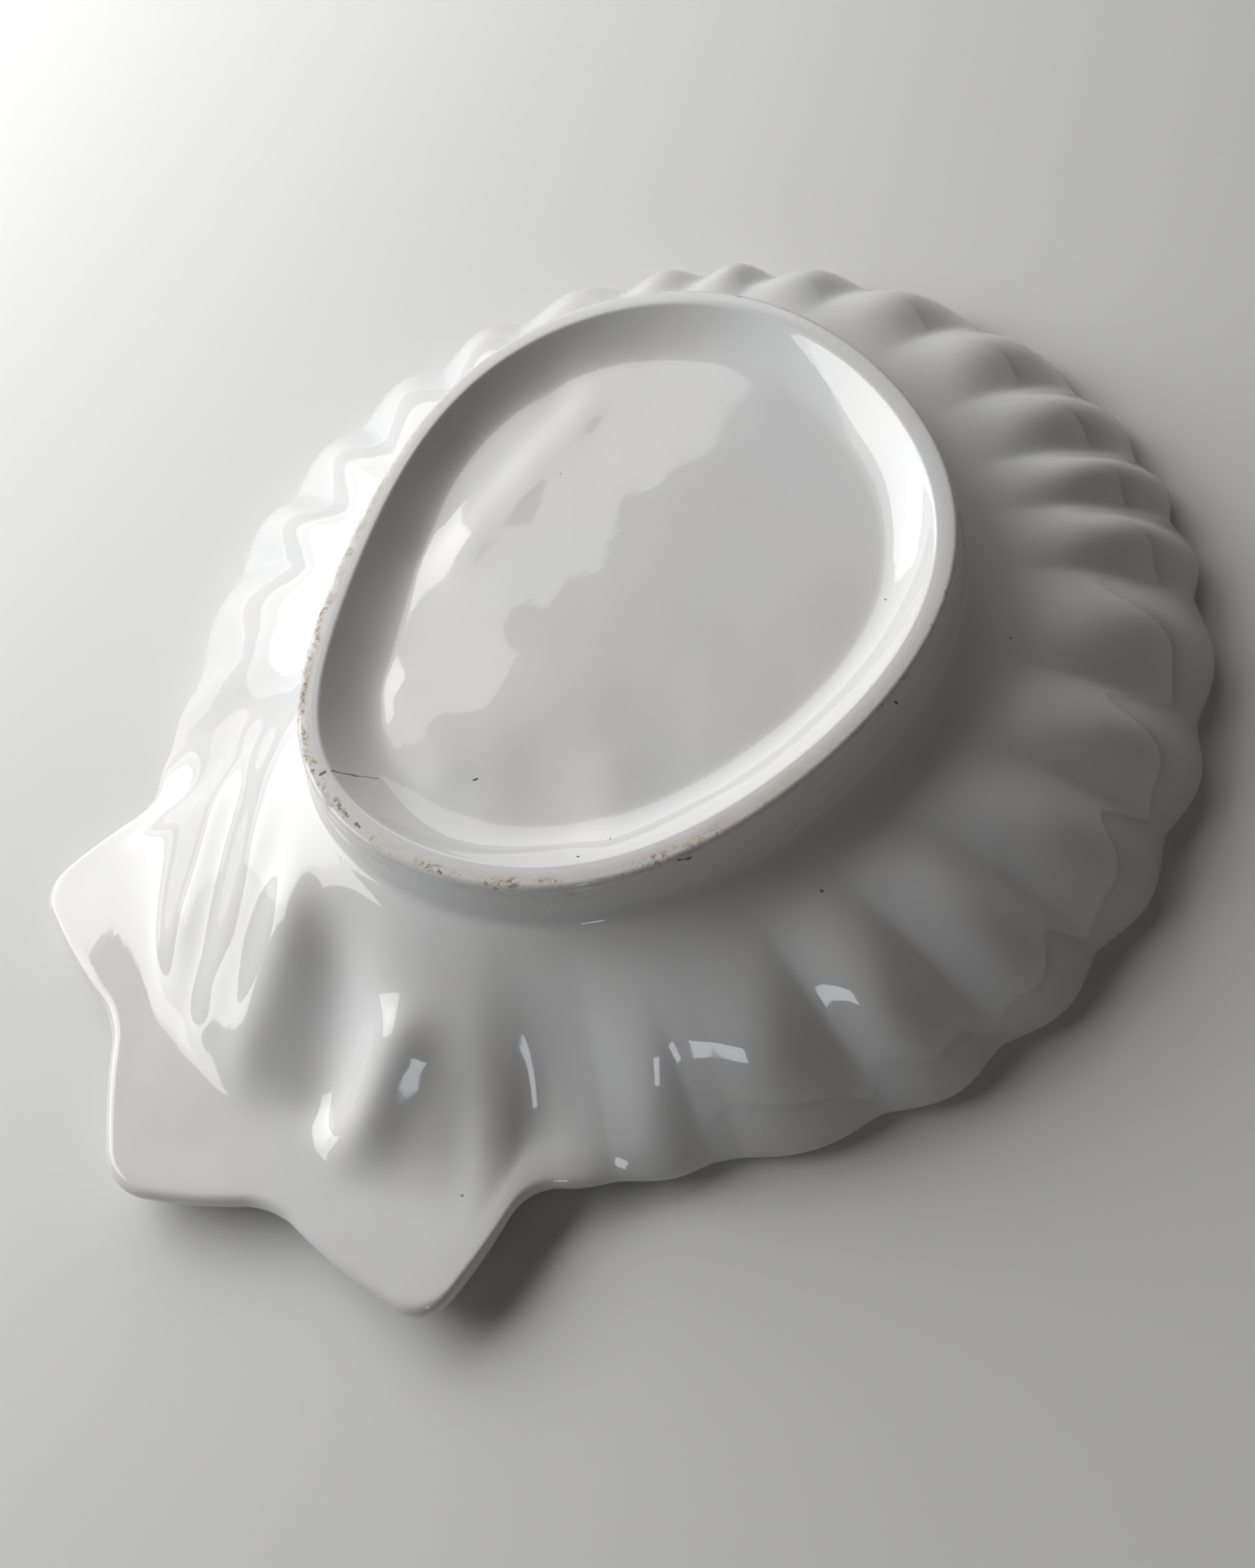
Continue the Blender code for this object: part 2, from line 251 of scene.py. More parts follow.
@dataclass
class ShellDish:
    """The whole dish: base, foot ring, fluted wall, hinge and lip in one closed skin."""

    sizes: DishSizes = field(default_factory=DishSizes)
    relief: CastRelief = field(default_factory=CastRelief)
    layout: SkinRows = field(default_factory=SkinRows)
    columns: int = 690
    plain_gap: float = -1.0
    lip_gap: float = -0.2
    worn_edge: tuple = (0.88, 1.0)
    name: str = "shell_dish"

    def __post_init__(self) -> None:
        """Work out the outlines that every section is measured from."""
        s = self.sizes
        bearing, self.rim_reach = self.polar(self.rim_outline())
        self.rim_bearing = np.maximum.accumulate(np.abs(bearing))
        self.foot_bearing, self.foot_reach = self.polar(self.foot_outline())
        self.neck = math.atan2(s.neck_half_width, -s.neck_setback - s.flute_centre)
        self.edges = np.append(np.radians(s.valley_bearings), self.neck)
        self.turn = np.radians(np.arange(-180.0, 180.0, 0.5))
        reach = np.interp(np.abs(self.turn), self.rim_bearing, self.rim_reach)
        bell = np.exp(-(self.turn / math.radians(self.relief.contour_spread)) ** 2)
        bell = np.fft.ifftshift(bell / bell.sum())
        self.soft_reach = np.fft.ifft(np.fft.fft(reach) * np.fft.fft(bell)).real

    def rim_outline(self) -> np.ndarray:
        """Right half of the rim: the fan's arc, its tangent to the neck, and the rounded hinge.

        The arc's radius grows from the half width to the reach with the square of the cosine.

        Returns:
            Points from the fan's middle round to the beak.
        """
        s = self.sizes
        reach = math.hypot(s.neck_half_width, s.neck_setback)
        leave = math.atan2(s.neck_half_width, -s.neck_setback) - math.acos(s.fan_radius / reach)
        arc = np.linspace(0.0, leave, 240)
        radius = s.fan_radius + (s.fan_reach - s.fan_radius) * np.maximum(np.cos(arc), 0.0) ** 2
        fan = np.stack([radius * np.sin(arc), radius * np.cos(arc)], axis=1)
        corners = [tuple(fan[-1]), (s.neck_half_width, -s.neck_setback), (s.ear_half_width, -s.ear_setback),
                   (s.notch_half_width, -s.notch_setback), (0.0, -s.beak_setback),
                   (-s.notch_half_width, -s.notch_setback)]
        hinge = filleted(corners, s.hinge_radii)
        return np.vstack([fan[:-1], hinge[hinge[:, 0] >= -1e-9]])

    def foot_outline(self) -> np.ndarray:
        """The whole egg of the foot ring.

        x = width * sin t * (1 + taper * cos t + second * cos 2t + third * cos 3t) + bend * (1 - cos 2t)
        and y = length * cos t, then turned a little and moved off the axis.

        Returns:
            Points over a full turn.
        """
        s = self.sizes
        t = np.linspace(-math.pi, math.pi, 1441)
        second, third = s.foot_fullness
        swell = 1.0 + s.foot_taper * np.cos(t) + second * np.cos(2.0 * t) + third * np.cos(3.0 * t)
        x = s.foot_half_width * np.sin(t) * swell + s.foot_bend * (1.0 - np.cos(2.0 * t))
        y = s.foot_half_length * np.cos(t)
        cosine, sine = math.cos(math.radians(s.foot_turn)), math.sin(math.radians(s.foot_turn))
        across = cosine * x - sine * y + s.foot_offset
        along = sine * x + cosine * y - s.foot_setback
        return np.stack([across, along], axis=1)

    def polar(self, outline: np.ndarray) -> tuple:
        """Signed bearing and distance of an outline's points from the flutes' centre.

        Args:
            outline: Points of the plan, one row each.

        Returns:
            Bearings in radians, and distances.
        """
        along = outline[:, 1] - self.sizes.flute_centre
        return np.arctan2(outline[:, 0], along), np.hypot(outline[:, 0], along)

    @staticmethod
    def side_of(bearing: np.ndarray) -> np.ndarray:
        """Bearing without its sign, folded back at the beak."""
        return np.abs((bearing + math.pi) % (2.0 * math.pi) - math.pi)

    def foot_at(self, bearing: np.ndarray) -> np.ndarray:
        """Distance of the crest's outer edge from the flutes' centre."""
        return np.interp(bearing, self.foot_bearing, self.foot_reach, period=2.0 * math.pi)

    def lobe(self, side: np.ndarray) -> np.ndarray:
        """Height |sin(pi * share)|^sharpness over each lobe, 0 in its two valleys and on the hinge.

        Args:
            side: Bearings from the fan's middle, without sign.

        Returns:
            Heights from 0 to 1.
        """
        share = np.interp(side, self.edges, np.arange(len(self.edges)))
        return np.abs(np.sin(math.pi * share)) ** self.sizes.lobe_sharpness * (side < self.neck)

    def calm(self, side: np.ndarray) -> np.ndarray:
        """1 on the open fan, less near the neck, where the flutes run out."""
        return 1.0 - self.sizes.neck_calm * smooth(side, math.radians(self.sizes.calm_start), self.neck)

    def hinge_share(self, side: np.ndarray) -> np.ndarray:
        """0 on the fan, 1 on the hinge, eased across the neck."""
        return smooth(side, self.neck - self.sizes.blend_before, self.neck + self.sizes.blend_after)

    def wall_skin(self, bearing: np.ndarray, u: np.ndarray) -> np.ndarray:
        """Outer skin of the wall.

        In plan a point goes straight from the foot to the rim as u goes from 0 to 1, past level
        lines that follow a softened rim high on the wall. On the fan its height falls with an even
        share of u and the rest of u^3. On the hinge it falls off a shoulder and levels out into a
        flange. Flutes and hinge ribs are added to that.

        Args:
            bearing: Signed bearings from the fan's middle.
            u: Shares of the way down, the same shape.

        Returns:
            Points, with their three coordinates along the last axis.
        """
        s = self.sizes
        side = self.side_of(bearing)
        scallop = self.lobe(side)
        hinge = self.hinge_share(side)
        foot = self.foot_at(bearing) + s.foot_flare
        rim = np.interp(side, self.rim_bearing, self.rim_reach)
        soft = np.interp(bearing, self.turn, self.soft_reach, period=2.0 * math.pi)
        rim = soft + (rim - soft) * smooth(u, 0.25, 0.95) + s.lobe_depth * scallop * self.calm(side)
        top = s.height - s.foot_height
        edge = s.lip_tilt + (s.ear_lift + s.wall - s.lip_tilt) * hinge
        fan_drop = s.fan_steady * u + (1.0 - s.fan_steady) * u ** 3
        flange = -s.flange_round * np.logaddexp(-s.flange_reach / s.flange_round,
                                                (s.flange_least - rim) / s.flange_round)
        w = np.clip(u * (rim - foot) / (flange - foot), 0.0, 1.0)
        hinge_drop = s.hinge_shoulder * (1.0 - (1.0 - w) ** 2) + (1.0 - s.hinge_shoulder) * smooth(w)
        z = top - (top - edge) * (fan_drop + (hinge_drop - fan_drop) * hinge)
        late = self.relief.neck_delay * smooth(side, math.radians(s.calm_start), self.neck)
        swell = smooth(u - late, 0.0, s.flute_start) ** self.relief.flute_ease * (1.0 - s.flute_loss * u ** 4)
        z = z + s.flute_depth * (scallop - 0.5) * swell * self.calm(side) * (1.0 - hinge)
        reach = foot + (rim - foot) * u
        x = reach * np.sin(bearing)
        y = s.flute_centre + reach * np.cos(bearing)
        ribs = sum(rib.height(x, y) for rib in s.ribs)
        z = z + ribs * hinge * smooth(w, *s.rib_rise) * (1.0 - smooth(w, *s.rib_fall))
        z = z + ripple(x, y, self.relief.waves) * smooth(u, 0.0, 0.1) * (1.0 - smooth(u, 0.8, 1.0))
        return np.stack([x, y, z], axis=-1)

    def wall_normal(self, bearing: np.ndarray, u: np.ndarray) -> np.ndarray:
        """Outward unit normal of the wall: the cross product of its two finite differences.

        Args:
            bearing: Signed bearings.
            u: Shares of the way down.

        Returns:
            Unit vectors.
        """
        step = 1e-4
        around = self.wall_skin(bearing + step, u) - self.wall_skin(bearing - step, u)
        down = self.wall_skin(bearing, np.minimum(u + step, 1.0)) - self.wall_skin(bearing, u - step)
        normal = np.cross(around, down)
        return normal / np.linalg.norm(normal, axis=-1, keepdims=True)

    def foot_profile(self) -> list:
        """Section of the base and the foot ring.

        The base is a dome, dome * (1 - f^2). The cove rises with a power of the share across it,
        the power at which it meets the crest's round without a kink. The crest has a quarter
        round on each side, and the outer face leans out to a quarter-round fillet.

        Returns:
            For each row, "base" with the share f of the base's radius, or "ring" with the distance
            inside the crest's outer edge, and then the height.
        """
        s, n = self.sizes, self.layout
        quarter = 0.5 * math.pi
        inner = s.crest_round + s.crest_flat + s.crest_round
        edge = inner + s.cove_width
        base_z = s.height - s.base_recess
        rows = [("base", f, base_z + s.base_dome * (1.0 - f * f)) for f in np.linspace(*n.base_reach, n.base)]
        meets = math.radians(self.relief.cove_meets)
        run = s.cove_width + s.crest_round * (1.0 - math.cos(meets))
        rise = s.base_recess - s.crest_round * (1.0 - math.sin(meets))
        power = run / rise / math.tan(meets)
        for t in np.linspace(0.0, 1.0, n.cove, endpoint=False):
            rows.append(("ring", edge - run * t, base_z + rise * t ** power))
        for a in np.linspace(meets, quarter, n.crest_inside):
            rows.append(("ring", inner - s.crest_round * (1.0 - math.cos(a)),
                         s.height - s.crest_round * (1.0 - math.sin(a))))
        rows.append(("ring", 0.5 * inner, s.height))
        for a in np.linspace(0.0, quarter, n.crest_outside):
            rows.append(("ring", s.crest_round * (1.0 - math.sin(a)),
                         s.height - s.crest_round * (1.0 - math.cos(a))))
        wall_z = s.height - s.foot_height
        lean = s.foot_flare - s.foot_fillet
        drop = s.foot_height - s.crest_round - s.foot_fillet
        for t in np.linspace(0.0, 1.0, n.ring_face + 1)[1:]:
            ledge = self.relief.step * (1.0 - float(smooth(t, *self.relief.step_span)))
            rows.append(("ring", ledge - lean * t, s.height - s.crest_round - drop * t))
        for a in np.linspace(0.0, quarter, n.ring_fillet + 2)[1:-1]:
            rows.append(("ring", -lean - s.foot_fillet * (1.0 - math.cos(a)),
                         wall_z + s.foot_fillet * (1.0 - math.sin(a))))
        return rows

    def build(self) -> bpy.types.Object:
        """Lay the closed skin over a grid of bearings and rows, and make it a mesh.

        Returns:
            The dish, at the origin.
        """
        s = self.sizes
        bearing = np.linspace(-math.pi, math.pi, self.columns, endpoint=False)
        floor_z = s.height - s.base_recess + s.base_dome - s.floor_thickness
        foot, foot_marks = self.foot_rows(bearing)
        wall, wall_marks = self.wall_rows(bearing)
        food, food_marks = self.food_rows(wall[-1], floor_z)
        grid = np.array(foot + wall + food)
        marks = np.array(foot_marks + wall_marks + food_marks)
        return self.skin_object(grid, marks, float(foot[0][:, 2].mean()), floor_z)

    def foot_rows(self, bearing: np.ndarray) -> tuple:
        """Rows of the base and the foot ring: the section at its distance along each bearing.

        Inside the crest the cast relief is added, in full at the base's depth.

        Args:
            bearing: Signed bearings of the columns.

        Returns:
            Rows of points, and their surface marks.
        """
        s = self.sizes
        direction = np.stack([np.sin(bearing), np.cos(bearing)], axis=-1)
        outer = self.foot_at(bearing)
        inner = s.crest_round + s.crest_flat + s.crest_round + s.cove_width
        rows, marks = [], []
        for kind, value, z in self.foot_profile():
            reach = (outer - inner) * value if kind == "base" else outer - value
            x, y = direction[:, 0] * reach, direction[:, 1] * reach + s.flute_centre
            z = np.full(self.columns, z)
            if kind == "base" or value > s.crest_round + s.crest_flat:
                depth = smooth(s.height - z, 0.0, s.base_recess)
                low = sum(mark.height(x, y) for mark in self.relief.base)
                z += depth * (low + ripple(x, y, self.relief.waves))
            rows.append(np.column_stack([x, y, z]))
            marks.append(self.mark_row(outer - reach, 0.0, 0.0))
        return rows, marks

    def wall_rows(self, bearing: np.ndarray) -> tuple:
        """Rows of the outer wall, the lip and the wall's inner skin.

        The wall is shifted by u^3 of what brings its lowest point to the table, or to the ears'
        lift. The inner skin is the outer one moved inwards by the wall's thickness.

        Args:
            bearing: Signed bearings of the columns.

        Returns:
            Rows of points, and their surface marks.
        """
        s = self.sizes
        side = self.side_of(bearing)
        stations = self.layout.wall_stations()
        skins = [self.wall_skin(bearing, np.full_like(bearing, u)) for u in stations]
        normals = [self.wall_normal(bearing, np.full_like(bearing, u)) for u in stations]
        for _ in range(self.layout.settling):
            lowest = np.min([row[:, 2] for row in self.lip(skins[-1], skins[-2], normals[-1])]
                            + [(skins[-1] - s.wall * normals[-1])[:, 2]], axis=0)
            shift = s.ear_lift * self.hinge_share(side) - lowest
            for skin, u in zip(skins, stations):
                skin[:, 2] += shift * u ** 3
        outer = self.foot_at(bearing)
        groove = (1.0 - self.lobe(side)) * self.calm(side) * (1.0 - self.hinge_share(side))
        marks = []
        for skin, u in zip(skins, stations):
            reach = np.hypot(skin[:, 0], skin[:, 1] - s.flute_centre)
            edge = smooth(u, *self.worn_edge)
            marks.append(self.mark_row(outer - reach, groove * smooth(u, 0.0, 0.5), edge))
        lip = self.lip(skins[-1], skins[-2], normals[-1])
        inner_rows = [skin - s.wall * normal for skin, normal in zip(skins[::-1], normals[::-1])]
        marks += [self.mark_row(self.lip_gap, 0.0, 1.0)] * len(lip)
        marks += [self.mark_row(self.plain_gap, 0.0, float(smooth(u, *self.worn_edge)))
                  for u in stations[::-2]]
        return skins + lip + inner_rows[::2], marks

    def food_rows(self, edge: np.ndarray, floor_z: float) -> tuple:
        """Rows of the floor of the food side: the inner skin's last row, drawn in to the middle.

        At share f of that row's reach the height goes from the middle's to the row's with f^3.

        Args:
            edge: The inner skin's last row.
            floor_z: Height of the middle.

        Returns:
            Rows of points, and their surface marks.
        """
        rows = []
        for f in self.layout.food_floor:
            flat = edge[:, :2] * f
            flat[:, 1] += self.sizes.flute_centre * (1.0 - f)
            rows.append(np.column_stack([flat, floor_z + (edge[:, 2] - floor_z) * f ** 3]))
        return rows, [self.mark_row(self.plain_gap, 0.0, 0.0)] * len(rows)

    def mark_row(self, gap: np.ndarray, groove: np.ndarray, edge: np.ndarray) -> np.ndarray:
        """One row of surface marks for the glaze.

        Args:
            gap: Distance inside the crest's outer edge, negative outside it, -1 on the food side.
            groove: 1 in the grooves between two ribs.
            edge: 1 on the lip.

        Returns:
            The three marks of each column.
        """
        return np.column_stack([np.broadcast_to(v, (self.columns,)) for v in (gap, groove, edge)])

    def lip(self, edge: np.ndarray, before: np.ndarray, normal: np.ndarray) -> list:
        """Half-round rows: centre + wall / 2 * (cos a * normal + sin a * along), a from 0 to pi.

        Args:
            edge: Last row of the outer skin.
            before: The row before it.
            normal: Outward normals on the last row.

        Returns:
            Rows of points.
        """
        half = 0.5 * self.sizes.wall
        along = edge - before
        along = along - np.sum(along * normal, axis=1, keepdims=True) * normal
        along /= np.linalg.norm(along, axis=1, keepdims=True)
        centre = edge - half * normal
        angles = np.linspace(0.0, math.pi, self.layout.lip + 2)[1:-1]
        return [centre + half * (math.cos(a) * normal + math.sin(a) * along) for a in angles]

    def skin_object(self, grid: np.ndarray, marks: np.ndarray, base_z: float,
                    floor_z: float) -> bpy.types.Object:
        """Join the grid's rows into quads, close it at both poles, and centre it over the origin.

        Args:
            grid: Points, row by row from the middle of the base to the middle of the floor.
            marks: Surface marks of the same points.
            base_z: Height of the middle of the base.
            floor_z: Height of the middle of the food side.

        Returns:
            The new object.
        """
        rows, columns = grid.shape[:2]
        middle = 0.5 * (grid[..., 1].min() + grid[..., 1].max())
        LOG.info("fan's centre lies %.5f m ahead of the origin", -middle)
        centre = self.sizes.flute_centre
        points = np.vstack([grid.reshape(-1, 3), [[0.0, centre, base_z]], [[0.0, centre, floor_z]]])
        points[:, 1] -= middle
        j = np.arange(columns)
        after = (j + 1) % columns
        i = np.arange(rows - 1)[:, None] * columns
        quads = np.stack([i + j, i + after, i + columns + after, i + columns + j], axis=-1).reshape(-1, 4)
        first = rows * columns
        top = np.stack([np.full(columns, first), after, j], axis=-1)
        last = (rows - 1) * columns
        bottom = np.stack([np.full(columns, first + 1), last + j, last + after], axis=-1)
        mesh = bpy.data.meshes.new(self.name)
        mesh.from_pydata(points.tolist(), [], quads.tolist() + top.tolist() + bottom.tolist())
        mesh.update()
        mesh.shade_smooth()
        values = np.vstack([marks.reshape(-1, 3), marks[0].mean(axis=0), marks[-1].mean(axis=0)])
        for name, column in zip(SurfaceMark, values.T):
            layer = mesh.attributes.new(name.value, "FLOAT", "POINT")
            layer.data.foreach_set("value", column.astype(np.float32))
        dish = bpy.data.objects.new(self.name, mesh)
        bpy.context.scene.collection.objects.link(dish)
        return dish


class Graph:
    """Short calls that add nodes to one tree and give back their output sockets."""

    def __init__(self, tree: bpy.types.NodeTree) -> None:
        """Work on this tree."""
        self.tree = tree

    def node(self, kind: str, inputs: dict, **settings: object) -> bpy.types.Node:
        """Add a node.

        Args:
            kind: Blender's name for the node type.
            inputs: Sockets or constants by input name or number.
            settings: Properties to set first.

        Returns:
            The node.
        """
        node = self.tree.nodes.new(kind)
        for name, value in settings.items():
            setattr(node, name, value)
        for key, value in inputs.items():
            if isinstance(value, bpy.types.NodeSocket):
                self.tree.links.new(value, node.inputs[key])
            else:
                node.inputs[key].default_value = value
        return node

    def math(self, operation: str, *values: object) -> bpy.types.NodeSocket:
        """Result of a math node on one to three values."""
        return self.node("ShaderNodeMath", dict(enumerate(values)), operation=operation).outputs[0]

    def vector(self, operation: str, *values: object) -> bpy.types.Node:
        """Vector math node on one or two vectors."""
        return self.node("ShaderNodeVectorMath", dict(enumerate(values)), operation=operation)

    def ramp(self, value: object, low: float, high: float, start: float = 0.0,
             end: float = 1.0) -> bpy.types.NodeSocket:
        """Ease from start to end as the value goes from low to high.

        Args:
            value: Socket to read.
            low: Value that gives start.
            high: Value that gives end.
            start: Result at low.
            end: Result at high.

        Returns:
            The eased value.
        """
        inputs = {"Value": value, "From Min": low, "From Max": high, "To Min": start, "To Max": end}
        return self.node("ShaderNodeMapRange", inputs, interpolation_type="SMOOTHSTEP").outputs["Result"]

    def noise(self, place: object, scale: float, detail: float = 3.0,
              roughness: float = 0.55) -> bpy.types.Node:
        """Noise texture over a place."""
        inputs = {"Vector": place, "Scale": scale, "Detail": detail, "Roughness": roughness}
        return self.node("ShaderNodeTexNoise", inputs)

    def mix(self, share: object, below: object, above: object) -> bpy.types.NodeSocket:
        """Colour below, covered with the colour above by the share."""
        inputs = {"Factor": share, 6: below, 7: above}
        return self.node("ShaderNodeMix", inputs, data_type="RGBA").outputs[2]

    def group(self, tree: bpy.types.NodeTree, inputs: dict) -> bpy.types.NodeOutputs:
        """Outputs, by name, of a node group placed with these inputs."""
        return self.node("ShaderNodeGroup", inputs, node_tree=tree).outputs


def new_group(name: str, inputs: dict, outputs: dict) -> tuple:
    """Start a node group.

    Args:
        name: Its name.
        inputs: Socket type by input name.
        outputs: Socket type by output name.

    Returns:
        The tree, a graph on it, its input node and its output node.
    """
    tree = bpy.data.node_groups.new(name, "ShaderNodeTree")
    for label, kind in inputs.items():
        tree.interface.new_socket(label, in_out="INPUT", socket_type=kind)
    for label, kind in outputs.items():
        tree.interface.new_socket(label, in_out="OUTPUT", socket_type=kind)
    graph = Graph(tree)
    return tree, graph, graph.node("NodeGroupInput", {}), graph.node("NodeGroupOutput", {})


FLOAT, VECTOR, COLOUR = "NodeSocketFloat", "NodeSocketVector", "NodeSocketColor"


@dataclass(frozen=True)
class Patches:
    """Soft-edged patches where a noise rises past a level."""

    scale: float
    low: float
    high: float
    detail: float = 3.0
    roughness: float = 0.55
    least: float = 0.0
    most: float = 1.0

    def mask(self, g: Graph, place: object) -> bpy.types.NodeSocket:
        """Least where the noise is under the low level, most where it is over the high one."""
        noise = g.noise(place, self.scale, self.detail, self.roughness).outputs[0]
        return g.ramp(noise, self.low, self.high, self.least, self.most)


@dataclass(frozen=True)
class Waver:
    """Noise that shifts an edge to and fro, or lifts a surface."""

    scale: float
    reach: float

    def shift(self, g: Graph, place: object) -> bpy.types.NodeSocket:
        """Shift of up to half the reach to each side."""
        noise = g.noise(place, self.scale).outputs[0]
        return g.math("MULTIPLY", g.math("SUBTRACT", noise, 0.5), self.reach)

    def lift(self, g: Graph, place: object) -> bpy.types.NodeSocket:
        """Height from 0 up to the reach."""
        return g.math("MULTIPLY", g.noise(place, self.scale, 2.0).outputs[0], self.reach)


@dataclass(frozen=True)
class WornCrest:
    """Bare, worn clay along the crest of the foot ring, with stains rubbed into it.

    Spans are distances inside the crest's outer edge, except the two shares along the dish, which
    grow from the first Y to the second.
    """

    clay: tuple = (0.66, 0.61, 0.53, 1.0)
    stain: tuple = (0.24, 0.145, 0.08, 1.0)
    wander: Waver = Waver(160.0, 0.0030)
    drift: Waver = Waver(38.0, 0.0040)
    band_in: tuple = (0.0004, 0.0014)
    band_out: tuple = (0.0046, 0.0030)
    band_along: tuple = (0.075, -0.030)
    streaks: Patches = Patches(240.0, 0.34, 0.60, 3.0, 0.6, 0.35, 1.0)
    line_in: tuple = (0.0000, 0.0005)
    line_out: tuple = (0.0016, 0.0008)
    line_share: float = 0.75
    broken: Patches = Patches(420.0, 0.42, 0.62, 4.0)
    patches: Patches = Patches(95.0, 0.43, 0.60, 5.0, 0.7)
    grains: Patches = Patches(900.0, 0.44, 0.60, 3.0, 0.6)
    stain_along: tuple = (0.000, -0.050)
    stain_in: tuple = (0.0004, 0.0010)
    stain_out: tuple = (0.0034, 0.0022)
    dots: Patches = Patches(700.0, 0.60, 0.70, 2.0)
    dot_share: float = 0.7
    ground_in: tuple = (0.0000, 0.0012)
    ground_out: tuple = (0.0054, 0.0040)
    grit: Waver = Waver(1300.0, 0.00005)

    def make(self) -> bpy.types.NodeTree:
        """Group that gives the bare share, the stained share and the wear's height.

        Returns:
            The node group.
        """
        tree, g, source, sink = new_group("worn_crest", {"Place": VECTOR, "Gap": FLOAT},
                                          {"Bare": FLOAT, "Stain": FLOAT, "Height": FLOAT})
        place, gap = source.outputs["Place"], source.outputs["Gap"]
        across = g.math("ADD", gap, g.math("ADD", self.wander.shift(g, place), self.drift.shift(g, place)))
        along = g.node("ShaderNodeSeparateXYZ", {0: place}).outputs["Y"]
        band = g.math("MULTIPLY", g.ramp(across, *self.band_in), g.ramp(across, *self.band_out))
        band = g.math("MULTIPLY", band, self.streaks.mask(g, place))
        band = g.math("MULTIPLY", band, g.ramp(along, *self.band_along))
        line = g.math("MULTIPLY", g.ramp(across, *self.line_in), g.ramp(across, *self.line_out))
        line = g.math("MULTIPLY", line, self.broken.mask(g, place))
        bare = g.math("MAXIMUM", band, g.math("MULTIPLY", line, self.line_share))
        rubbed = g.math("MULTIPLY", self.patches.mask(g, place), self.grains.mask(g, place))
        rubbed = g.math("MULTIPLY", rubbed, g.ramp(along, *self.stain_along))
        trace = g.math("MULTIPLY", g.ramp(across, *self.stain_in), g.ramp(across, *self.stain_out))
        dots = g.math("MULTIPLY", g.math("MULTIPLY", line, self.dots.mask(g, place)), self.dot_share)
        ground = g.math("MULTIPLY", g.ramp(gap, *self.ground_in), g.ramp(gap, *self.ground_out))
        g.tree.links.new(bare, sink.inputs["Bare"])
        g.tree.links.new(g.math("MAXIMUM", g.math("MULTIPLY", rubbed, trace), dots), sink.inputs["Stain"])
        g.tree.links.new(g.math("MULTIPLY", ground, self.grit.lift(g, place)), sink.inputs["Height"])
        return tree


@dataclass(frozen=True)
class GlazeTone:
    """Tin glaze that pools a little cooler in the grooves and thins to warm clay on the edges."""

    plain: tuple = (0.80, 0.795, 0.785, 1.0)
    pooled: tuple = (0.765, 0.785, 0.80, 1.0)
    thin: tuple = (0.79, 0.765, 0.725, 1.0)
    clouds: Patches = Patches(17.0, 0.45, 0.75, 4.0)
    pool_share: float = 0.45
    streaks: Patches = Patches(60.0, 0.44, 0.70, 4.0, 0.6)
    blushes: Patches = Patches(46.0, 0.52, 0.80, 5.0, 0.65, 0.0, 0.35)
    smears: Patches = Patches(24.0, 0.40, 0.75, 5.0, 0.65, 0.035, 0.09)
    wavy: Waver = Waver(150.0, 0.000028)
    peel: Waver = Waver(620.0, 0.0000035)

    def make(self) -> bpy.types.NodeTree:
        """Group that gives the glaze's colour, roughness and the height of its surface.

        Returns:
            The node group.
        """
        tree, g, source, sink = new_group("glaze_tone", {"Place": VECTOR, "Groove": FLOAT, "Edge": FLOAT},
                                          {"Color": COLOUR, "Roughness": FLOAT, "Height": FLOAT})
        place = source.outputs["Place"]
        pool = g.math("ADD", source.outputs["Groove"], self.clouds.mask(g, place))
        colour = g.mix(g.math("MULTIPLY", pool, self.pool_share), self.plain, self.pooled)
        worn = g.math("MULTIPLY", source.outputs["Edge"], self.streaks.mask(g, place))
        colour = g.mix(worn, colour, self.thin)
        colour = g.mix(self.blushes.mask(g, place), colour, self.thin)
        height = g.math("ADD", self.wavy.lift(g, place), self.peel.lift(g, place))
        g.tree.links.new(colour, sink.inputs["Color"])
        g.tree.links.new(self.smears.mask(g, place), sink.inputs["Roughness"])
        g.tree.links.new(height, sink.inputs["Height"])
        return tree


@dataclass(frozen=True)
class Pinholes:
    """Sparse kiln specks and shallow pits in the glaze, in cells of a Voronoi pattern.

    A cell has a speck or a pit where its random number lies above the share without one. Sizes
    are in cells.
    """

    cells_per_metre: float = 120.0
    speck_size: tuple = (0.012, 0.040)
    without_speck: float = 0.955
    pit_size: float = 0.06
    without_pit: float = 0.90
    pit_height: float = -0.00003

    def make(self) -> bpy.types.NodeTree:
        """Group that gives dark specks and shallow pits around random points.

        Returns:
            The node group.
        """
        tree, g, source, sink = new_group("pinholes", {"Place": VECTOR}, {"Speck": FLOAT, "Height": FLOAT})
        cells = g.node("ShaderNodeTexVoronoi", {"Vector": source.outputs["Place"],
                                                "Scale": self.cells_per_metre})
        chance = g.node("ShaderNodeSeparateColor", {0: cells.outputs["Color"]}).outputs
        size = g.ramp(chance["Green"], 0.0, 1.0, *self.speck_size)
        dot = g.math("LESS_THAN", cells.outputs["Distance"], size)
        speck = g.math("MULTIPLY", dot, g.math("GREATER_THAN", chance["Red"], self.without_speck))
        pit = g.math("MULTIPLY", g.ramp(cells.outputs["Distance"], self.pit_size, 0.0),
                     g.math("GREATER_THAN", chance["Blue"], self.without_pit))
        g.tree.links.new(g.math("MULTIPLY", speck, chance["Blue"]), sink.inputs["Speck"])
        g.tree.links.new(g.math("MULTIPLY", pit, self.pit_height), sink.inputs["Height"])
        return tree


